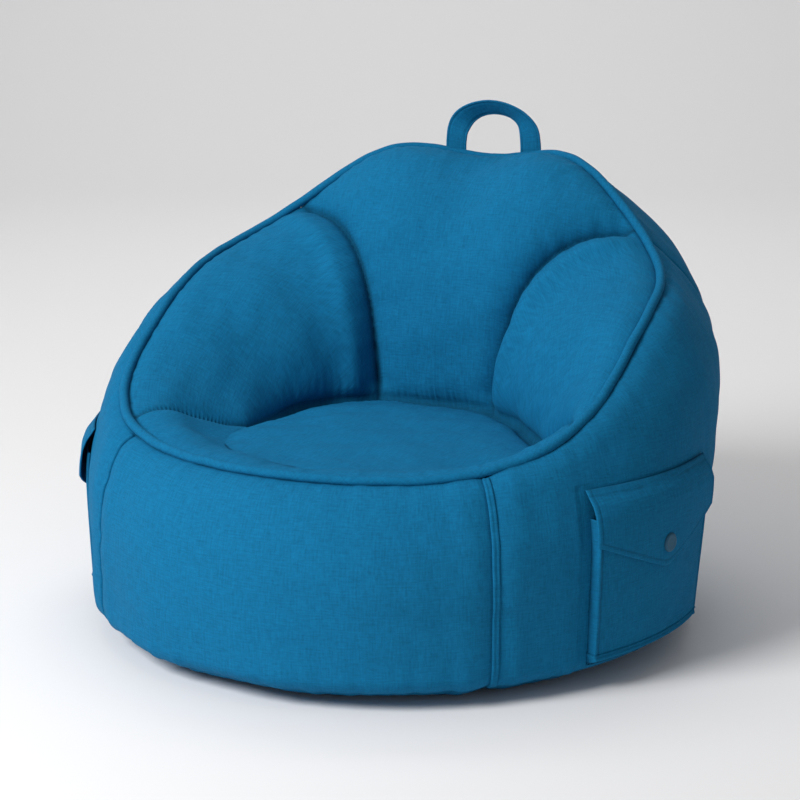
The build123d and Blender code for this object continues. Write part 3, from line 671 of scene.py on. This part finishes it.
def flap(sidew):
    f0, f1 = P0 - 0.4, P1 + 0.4
    L = (f1 - f0) * mm_per_deg
    u = edge_steps(L, 8.0, 0.9, 3.0)
    x = np.abs(2 * u / L - 1)
    drop = FLAP_SIDE + (FLAP_MID - FLAP_SIDE) * (1 - np.sqrt(x * x + 0.006)) / (1 - math.sqrt(0.006))
    drop = np.maximum(drop, FLAP_SIDE)
    v = np.concatenate([np.linspace(0, 1, 46)[:-1], [1.0]])
    v = 1 - (1 - v) ** 1.15
    V_, U = np.meshgrid(v, u, indexing="ij")
    H = V_ * drop[None, :]
    e = np.minimum(np.minimum(U, L - U), drop[None, :] - H)
    off = np.interp(H, *FLAP_H) + FLAP_CLOTH
    # soft turned edge, topstitch groove, slight cupping
    off = off - 0.9 * np.exp(-(e / 0.9) ** 2) - 0.55 * np.exp(-((e - 5.6) / 0.9) ** 2)
    off = off + lumps(np.stack([U, H, 0 * U], -1), [70, 50, 90], 81) * 0.5 * np.clip(H / 20, 0, 1)
    sl = slack(U, L, sidew, 0.62)
    off = 2.9 + (off - 2.9) * sl
    topst = np.exp(-((H - 5.5) / 1.0) ** 2)
    off = off - 0.5 * topst
    Z = FLAP_TOP - H
    deg = f0 + U / mm_per_deg
    O = wall_pt(deg, Z, off)
    inner_off = 0.9 + (np.interp(H, *FLAP_H) - 0.9) * sl + 0.1
    n = grid_normals(O)
    I = wall_pt(deg, Z, inner_off)
    # rows run downwards here, so turn the grid over for outward faces
    O, I, U, H, e = O[::-1], I[::-1], U[::-1], H[::-1], e[::-1]
    O[..., 0] *= sidew
    I[..., 0] *= sidew
    if sidew < 0:
        O, I, U, H, e = O[:, ::-1], I[:, ::-1], U[:, ::-1], H[:, ::-1], e[:, ::-1]
    # painted shade along the edge topstitch groove, the top topstitch groove and at the flap's top where it is sewn to
    # the wall
    seam = 0.6 * np.exp(-((e - 5.6) / 0.9) ** 2) + 0.6 * np.exp(-((H - 5.5) / 1.0) ** 2) + 0.5 * np.exp(-(H / 1.6) ** 2)
    return shell(("right" if sidew > 0 else "left") + "_envelope_flap", O, I, np.stack([U, -H], -1), {"seam": np.clip(seam, 0, 1)})


rad0 = np.array([math.sin(math.radians(POCKET_C)), -math.cos(math.radians(POCKET_C)), 0.0])
tan0 = np.array([math.cos(math.radians(POCKET_C)), math.sin(math.radians(POCKET_C)), 0.0])


def lathe(name, profile, origin, axis, n=48):
    """Closed turned piece: profile [(r, h)] from the axis top to the axis bottom."""
    axis = unit(np.array(axis, float))
    s = unit(np.cross(axis, [0, 0, 1.0]))
    t = np.cross(axis, s)
    th = np.linspace(0, 2 * math.pi, n, endpoint=False)
    rings = []
    for r, h in profile:
        rings.append(origin + axis * h + r * (np.cos(th)[:, None] * s + np.sin(th)[:, None] * t))
    R = np.stack(rings)
    V = np.concatenate([R.reshape(-1, 3), [origin + axis * profile[0][1]], [origin + axis * profile[-1][1]]])
    m = len(profile)
    F = grid_faces(m, n, True, flip=True).tolist()
    i = np.arange(n)
    F += np.stack([np.full(n, m * n), i, (i + 1) % n], -1).tolist()
    last = (m - 1) * n
    F += np.stack([np.full(n, m * n + 1), last + (i + 1) % n, last + i], -1).tolist()
    return make(name, V, F)


for sw, sn in ((1, "right"), (-1, "left")):
    pk = pocket(sw)
    pk.data.materials.append(cover_mat)
    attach(pk, "bag"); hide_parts(sn + "_pocket")
    fl = flap(sw)
    fl.data.materials.append(cover_mat)
    d = rad0 * 8.0 + np.array([0, 0, -13.0])
    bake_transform(fl)
    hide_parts(sn + "_pocket_flap")
    sr = float(wall_pt(np.array(POCKET_C), np.array(FLAP_TOP - SNAP_DROP), 0.0) @ rad0)
    org = rad0 * (sr + FLAP_OUT + FLAP_CLOTH + 0.1) + np.array([0, 0, FLAP_TOP - SNAP_DROP])
    ax = rad0.copy()
    org[0] *= sw
    ax[0] *= sw
    cap = lathe(sn + "_snap_dome", [(3.0, 2.35), (5.6, 2.3), (6.4, 2.55), (7.6, 2.6), (8.8, 2.25), (9.6, 1.5), (9.95, 0.6), (9.7, 0.0), (5.0, 0.0)],
                org, ax)
    cap.data.materials.append(snap_mat)
    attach(cap, sn + "_flap"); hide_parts(sn + "_snap_cap")

# ---------------- carry handle ----------------
half = [(-47.0, -9.0, 0.0, 1.0, (-1, 0, 0)), (-47.0, 0.0, 0.0, 1.0, (-1, 0, 0)), (-46.6, 14.0, 0.05, 1.0, (-1, -0.02, 0)),
        (-44.5, 27.0, 0.30, 1.0, (-0.95, -0.12, 0.28)), (-36.5, 40.0, 0.75, 0.75, (-0.62, -0.50, 0.60)),
        (-24.0, 48.5, 1.0, 0.42, (-0.26, -0.68, 0.68)), (-11.0, 52.5, 1.0, 0.14, (-0.06, -0.72, 0.69)),
        (0.0, 53.5, 1.0, 0.0, (0, -0.72, 0.69))]
pts = [(np.array([x, 0, z], float), unit(np.array(w, float))) for x, z, ax, az, w in half]
pts += [(np.array([-p[0], 0, p[2]]), np.array([-w[0], w[1], w[2]])) for p, w in pts[-2::-1]]
for i in range(len(pts)):          # one consistent width direction through the mirrored half
    if i and np.dot(pts[i][1], pts[i - 1][1]) < 0:
        pts[i] = (pts[i][0], -pts[i][1])
C = np.array([p for p, _ in pts])
Wd = np.array([w for _, w in pts])
chord = np.concatenate([[0], np.cumsum(np.linalg.norm(np.diff(C, axis=0), axis=1))])


def catmull(X, s, q):
    m = np.gradient(X, s, axis=0)
    i = np.clip(np.searchsorted(s, q) - 1, 0, len(s) - 2)
    h = (s[i + 1] - s[i])[:, None]
    t = ((q - s[i]) / (s[i + 1] - s[i]))[:, None]
    return ((2 * t ** 3 - 3 * t ** 2 + 1) * X[i] + (t ** 3 - 2 * t ** 2 + t) * h * m[i]
            + (-2 * t ** 3 + 3 * t ** 2) * X[i + 1] + (t ** 3 - t ** 2) * h * m[i + 1])


q = np.linspace(0, chord[-1], 150)
Cc = catmull(C, chord, q) + np.array([0, HANDLE_Y, HANDLE_Z])
Ww = catmull(Wd, chord, q)
tg = unit(np.gradient(Cc, axis=0))
Ww = unit(Ww - tg * (Ww * tg).sum(1)[:, None])
up = np.cross(tg, Ww)
hw, ht = 12.7, 1.0
pr = [(-hw, -0.55), (-hw - 0.2, 0), (-hw, 0.55), (-hw + 0.8, ht + 0.15), (-hw + 2.2, ht), (-hw + 3.0, ht - 0.45), (-hw + 3.8, ht),
      (-6, ht + 0.1), (0, ht + 0.05), (6, ht + 0.1), (hw - 3.8, ht), (hw - 3.0, ht - 0.45), (hw - 2.2, ht), (hw - 0.8, ht + 0.15),
      (hw, 0.55), (hw + 0.2, 0), (hw, -0.55), (hw - 0.8, -ht - 0.15), (hw - 2.2, -ht), (hw - 3.0, -ht + 0.45), (hw - 3.8, -ht),
      (6, -ht), (0, -ht), (-6, -ht), (-hw + 3.8, -ht), (-hw + 3.0, -ht + 0.45), (-hw + 2.2, -ht), (-hw + 0.8, -ht - 0.15)]
pr = np.array(pr, float)
strap = tube("webbing_handle", Cc, Ww, up, pr, False)
# painted shade along the two stitch grooves of the webbing
stitch_groove_shade = np.tile([0.8 if abs(abs(x) - 9.7) < 0.2 else 0.0 for x, _ in pr], len(q))
at = strap.data.attributes.new("seam", "FLOAT", "POINT")
at.data.foreach_set("value", stitch_groove_shade.astype(np.float32))
strap.data.materials.append(strap_mat)
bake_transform(strap)
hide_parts("carry_handle")

# ---------------- finishes on the CAD pieces that stay ----------------
for node, mt in (("left_snap_socket", steel_mat), ("right_snap_socket", steel_mat), ("left_snap_stud", steel_mat),
                 ("right_snap_stud", steel_mat), ("zipper_tapes", tape_mat), ("zipper_coil", coil_mat), ("zipper_slider", slider_mat)):
    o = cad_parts[node]
    o.data.materials.clear()
    o.data.materials.append(mt)

# ---------------- floor, backdrop, light and camera ----------------
fm, fnt, fbs = material("studio_floor")
nz = fnt.nodes.new("ShaderNodeTexNoise")
nz.inputs["Scale"].default_value = 0.6
mr = fnt.nodes.new("ShaderNodeMapRange")
mr.inputs["To Min"].default_value = 0.985
mr.inputs["To Max"].default_value = 1.0
sc = fnt.nodes.new("ShaderNodeVectorMath")
sc.operation = "SCALE"
sc.inputs[0].default_value = (0.885, 0.88, 0.885)
fnt.links.new(nz.outputs["Fac"], mr.inputs["Value"])
fnt.links.new(mr.outputs[0], sc.inputs["Scale"])
fnt.links.new(sc.outputs[0], fbs.inputs["Base Color"])
fbs.inputs["Roughness"].default_value = 0.7
fbs.inputs["Specular IOR Level"].default_value = 0.2
prof = [(-40.0, 0.0)] + [(x, 0.0) for x in (-4.0, -1.0, 0.0, 1.0, 2.0, 3.2)]
R = 2.6
prof += [(3.2 + R * math.sin(t), R * (1 - math.cos(t))) for t in np.linspace(0.08, 1.5, 18)]
prof += [(3.2 + R + 0.02, 9.0)]
ca, sa = math.cos(math.radians(25.8)), math.sin(math.radians(25.8))
vs = []
for y, z in prof:
    for x in (-30.0, 30.0):
        vs.append(((x * ca - y * sa) * 1000, (x * sa + y * ca) * 1000, z * 1000 - 0.6))
fs = [[2 * i, 2 * i + 1, 2 * i + 3, 2 * i + 2] for i in range(len(prof) - 1)]
floor = make("studio_sweep", np.array(vs), fs)
floor.data.materials.append(fm)

a, e = math.radians(25.8), math.radians(14.0)
back = Vector((math.sin(a) * math.cos(e), -math.cos(a) * math.cos(e), math.sin(e)))
T0 = Vector((0, 0, 0.202))
cam_d = bpy.data.cameras.new("camera")
cam_d.lens = 99.0
cam_d.sensor_width = 36.0
cam_d.shift_x, cam_d.shift_y = -0.0025, 0.03
cam_d.clip_end = 60
cam = bpy.data.objects.new("camera", cam_d)
cam.location = T0 + back * 2.405
cam.rotation_mode = "QUATERNION"
cam.rotation_quaternion = (-back).to_track_quat("-Z", "Y")
bpy.context.scene.collection.objects.link(cam)
bpy.context.scene.camera = cam

right = Vector((math.cos(a), math.sin(a), 0))
bh = Vector((math.sin(a), -math.cos(a), 0))


def area(name, where, target, size, power, colour=(1, 1, 1)):
    d = bpy.data.lights.new(name, "AREA")
    d.shape = "DISK"
    d.size = size
    d.energy = power
    d.color = colour
    o = bpy.data.objects.new(name, d)
    o.location = where
    o.rotation_mode = "QUATERNION"
    o.rotation_quaternion = (Vector(target) - Vector(where)).to_track_quat("-Z", "Y")
    bpy.context.scene.collection.objects.link(o)
    return o


area("key", -right * 1.9 + bh * 1.5 + Vector((0, 0, 1.95)), (0, 0, 0.2), 1.4, 84)
area("top", -right * 0.2 - bh * 0.6 + Vector((0, 0, 3.2)), (0, 0, 0.2), 2.6, 9)
area("sweep", -bh * 2.2 + Vector((0, 0, 3.5)), tuple(-bh * 5.0 + Vector((0, 0, 0.3))), 3.5, 56)
w = bpy.data.worlds.new("studio")
w.use_nodes = True
w.node_tree.nodes["Background"].inputs["Color"].default_value = (1.0, 1.0, 1.0, 1)
w.node_tree.nodes["Background"].inputs["Strength"].default_value = 0.285
bpy.context.scene.world = w
bpy.context.scene.view_settings.view_transform = "Standard"
bpy.context.scene.view_settings.look = "None"
